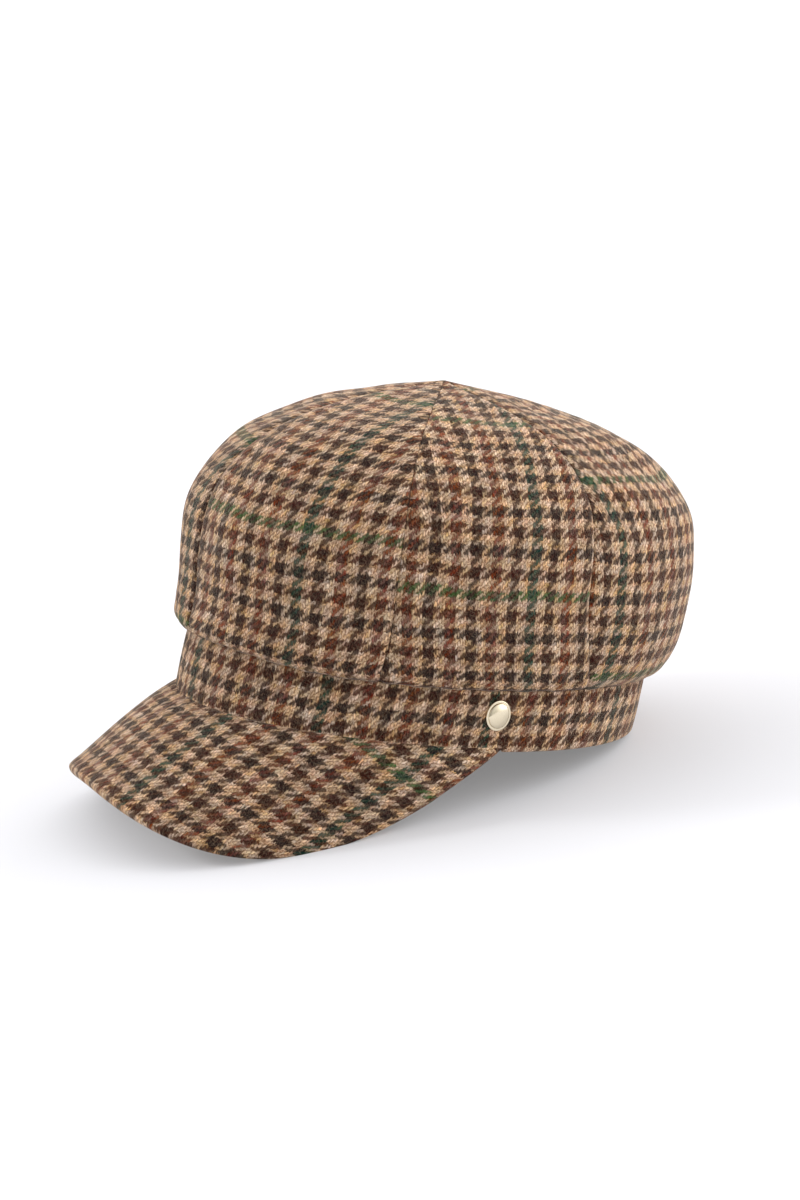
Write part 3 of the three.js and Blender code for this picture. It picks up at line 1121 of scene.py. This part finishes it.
@dataclass
class Stud:
    """The small plain stud at the wearer's left temple: an oval dome inside a narrow flat rim."""

    band: Band
    half_width: float = 5.5
    half_height: float = 6.5
    rim_height: float = 0.9
    rim_round: float = 0.3
    dome_height: float = 2.6
    dome_share: float = 0.84
    back_share: float = 0.5
    angle: float = 91.4
    level: float = 13.5
    gap: float = 0.3
    crease: float = 40.0
    sides: int = 96
    dome_steps: int = 28
    round_steps: int = 8

    def profile(self) -> tuple[Array, Array]:
        """The turned profile from the middle of the back to the top of the dome.

        Returns:
            The radius as a share of the stud's own, and the height in millimetres.
        """
        roll = np.linspace(0, math.pi / 2, self.round_steps)
        roll_share = self.rim_round / self.half_width
        rim = 1 - roll_share + roll_share * np.cos(roll)
        rim_rise = self.rim_height - self.rim_round + self.rim_round * np.sin(roll)
        dome = np.linspace(0, math.pi / 2, self.dome_steps)[:-1]
        share = np.concatenate([[self.back_share, 1], rim, self.dome_share * np.cos(dome)])
        rise = (self.dome_height - self.rim_height) * np.sin(dome) + self.rim_height
        return share, np.concatenate([[0, 0], rim_rise, rise])

    def build(self, rest: Rest, gilt: Material) -> Piece:
        """Builds and dresses the stud, turned about its axis and set with its back against the band.

        Args:
            rest: The way the cap stands.
            gilt: Its metal.

        Returns:
            The stud.
        """
        angle = np.array(math.radians(self.angle))
        wall_up = np.array([0, self.band.lean, self.band.height])
        wall_up /= np.linalg.norm(wall_up)
        out = np.cross(self.band.tangent(angle), wall_up)
        out /= np.linalg.norm(out)
        side = np.cross(wall_up, out)
        base = self.band.point(angle, self.level + 0 * angle, 0) + self.gap * out
        turn = np.linspace(0, TURN, self.sides, endpoint=False)[:, None]
        share, rise = self.profile()
        ring = (
            base
            + (self.half_width * share * np.cos(turn))[..., None] * side
            + (self.half_height * share * np.sin(turn))[..., None] * wall_up
            + (rise + 0 * turn)[..., None] * out
        )
        columns = len(share)
        first = np.arange(self.sides)[:, None] * columns
        after = np.roll(first, -1)
        column = np.arange(columns - 1)
        quads = np.stack([first + column, after + column, after + column + 1, first + column + 1], -1)
        back, top = (np.full_like(first, self.sides * columns + k) for k in (0, 1))
        back_faces = np.concatenate([back, after, first], 1)
        top_faces = np.concatenate([first + columns - 1, after + columns - 1, top], 1)
        points = np.concatenate([ring.reshape(-1, 3), [base, base + self.dome_height * out]])
        faces = quads.reshape(-1, 4).tolist() + back_faces.tolist() + top_faces.tolist()
        piece = new_piece("stud_gilt", rest.placed(points), faces, crease=self.crease)
        return dress(piece, gilt, "stud")


@dataclass(frozen=True)
class Glow:
    """A broad light of the room, brightest in one direction and fading by a power of the cosine from it.

    The direction is counted towards the camera, to the camera's right and up.
    """

    toward: float
    aside: float
    up: float
    power: float
    strength: float


@dataclass
class Studio:
    """The floor, the camera, and a room's soft light, which is brightest from behind and from the sides."""

    azimuth: float = 65.8
    elevation: float = 11.3
    roll: float = 6.7
    distance: float = 1600.0
    pixels_per_mm: float = 2.303
    ring_pixel: tuple[float, float] = (406.4, 701.1)
    image: tuple[int, int] = (800, 1200)
    sensor: float = 36.0
    sight_metres: float = 100.0
    floor_metres: float = 14.0
    floor_drop: float = 0.05
    glows: tuple[Glow, ...] = (
        Glow(-1, -1, 1.2, 4, 2.7),
        Glow(-1, 1, 1.2, 4, 1.35),
        Glow(1, 1, 1.2, 4, 0.7),
        Glow(0, -1, 0.25, 4, 1.1),
        Glow(0, 1, 0.12, 4, 3.5),
        Glow(-0.8, 1, 0.1, 8, 2.6),
        Glow(1, 0, 0.25, 4, 0.6),
    )
    key: float = 0.78
    key_angle: float = 12.0
    key_from: tuple[float, float, float] = (-0.17, -0.8, 0.57)

    def axes(self) -> tuple[Array, Array, Array]:
        """The camera's right, up and backward directions in the cap's frame.

        Returns:
            The three unit directions.
        """
        azimuth, elevation, roll = (math.radians(v) for v in (self.azimuth, self.elevation, self.roll))
        level = np.array([math.cos(azimuth), math.sin(azimuth), 0])
        facing = np.array([math.sin(azimuth), -math.cos(azimuth), 0])
        back = facing * math.cos(elevation) + [0, 0, math.sin(elevation)]
        upright = np.cross(back, level)
        right = math.cos(roll) * level + math.sin(roll) * upright
        up = -math.sin(roll) * level + math.cos(roll) * upright
        return right, up, back

    def add_camera(self, rest: Rest) -> None:
        """Sets the camera at the photograph's angle, aimed so that the ring's middle falls on its pixel.

        Args:
            rest: The way the cap stands.
        """
        right, up, back = self.axes()
        aside = (self.image[0] / 2 - self.ring_pixel[0]) / self.pixels_per_mm
        above = (self.ring_pixel[1] - self.image[1] / 2) / self.pixels_per_mm
        eye = Vector(rest.placed(self.distance * back))
        aim = Vector(rest.placed(aside * right + above * up))
        backward = (eye - aim).normalized()
        upward = Vector(rest.turned(up))
        sideways = upward.cross(backward).normalized()
        upward = backward.cross(sideways)
        camera = bpy.data.objects.new("camera", bpy.data.cameras.new("camera"))
        turned = Matrix((sideways, upward, backward)).transposed().to_4x4()
        camera.matrix_world = Matrix.Translation(eye) @ turned
        camera.data.sensor_width = self.sensor
        camera.data.lens = self.sensor * self.distance * self.pixels_per_mm / max(self.image)
        camera.data.clip_end = self.sight_metres
        bpy.context.scene.collection.objects.link(camera)
        bpy.context.scene.camera = camera

    def add_floor(self, opal: Material) -> None:
        """Lays the floor just under the cap.

        Args:
            opal: The floor's finish.
        """
        corners = np.array([[-1, -1], [1, -1], [1, 1], [-1, 1]]) * self.floor_metres
        points = np.concatenate([corners, np.full((4, 1), -self.floor_drop * MM)], 1)
        floor = new_piece("studio_floor", points, [[0, 1, 2, 3]])
        floor.data.materials.append(opal)

    def add_light(self, rest: Rest) -> None:
        """Lights the cap by the room's glows, and by a key from the left that draws the shadow's edge.

        Args:
            rest: The way the cap stands.
        """
        right, _, back = (Vector(rest.turned(axis)) for axis in self.axes())
        toward, aside = (Vector((axis.x, axis.y, 0)).normalized() for axis in (back, right))
        basis = Matrix((toward, aside, (0, 0, 1))).transposed()
        world = bpy.data.worlds.new("soft_room")
        world.use_nodes = True
        tree = world.node_tree
        tree.nodes.clear()
        seen = add_node(tree, "TexCoord").outputs["Generated"]
        total: Socket | float = 0.0
        for glow in self.glows:
            heading = (basis @ Vector((glow.toward, glow.aside, glow.up))).normalized()
            cosine = add_node(tree, "VectorMath", {0: seen, 1: heading}, operation="DOT_PRODUCT").outputs[1]
            facing = add_node(tree, "Math", {0: cosine, 1: 0.0}, operation="MAXIMUM").outputs[0]
            fade = add_node(tree, "Math", {0: facing, 1: glow.power}, operation="POWER").outputs[0]
            added = {0: fade, 1: glow.strength, 2: total}
            total = add_node(tree, "Math", added, operation="MULTIPLY_ADD").outputs[0]
        room = add_node(tree, "Background", {"Color": linear("#FFFFFF"), "Strength": total})
        add_node(tree, "OutputWorld", {0: room.outputs[0]})
        bpy.context.scene.world = world
        lamp = bpy.data.lights.new("key", "SUN")
        lamp.energy = self.key
        lamp.angle = math.radians(self.key_angle)
        key = bpy.data.objects.new("key", lamp)
        key.rotation_mode = "QUATERNION"
        key.rotation_quaternion = (basis @ Vector(self.key_from)).to_track_quat("Z", "Y")
        bpy.context.scene.collection.objects.link(key)
        bpy.context.scene.view_settings.view_transform = "Standard"


def main() -> None:
    """Builds the cap's pieces in order, and the studio round them."""
    logging.basicConfig(level=logging.INFO, format="%(name)s: %(message)s")
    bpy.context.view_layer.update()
    rest = Rest()
    studio = Studio()
    studio.add_camera(rest)
    studio.add_light(rest)
    studio.add_floor(LightTable().material())
    tweed = Tweed().material()
    band = Band()
    Crown(band).build(rest, tweed)
    band.build(rest, tweed)
    Peak(band).build(rest, tweed)
    Stud(band).build(rest, Gilt().material())


if __name__ == "__main__":
    main()
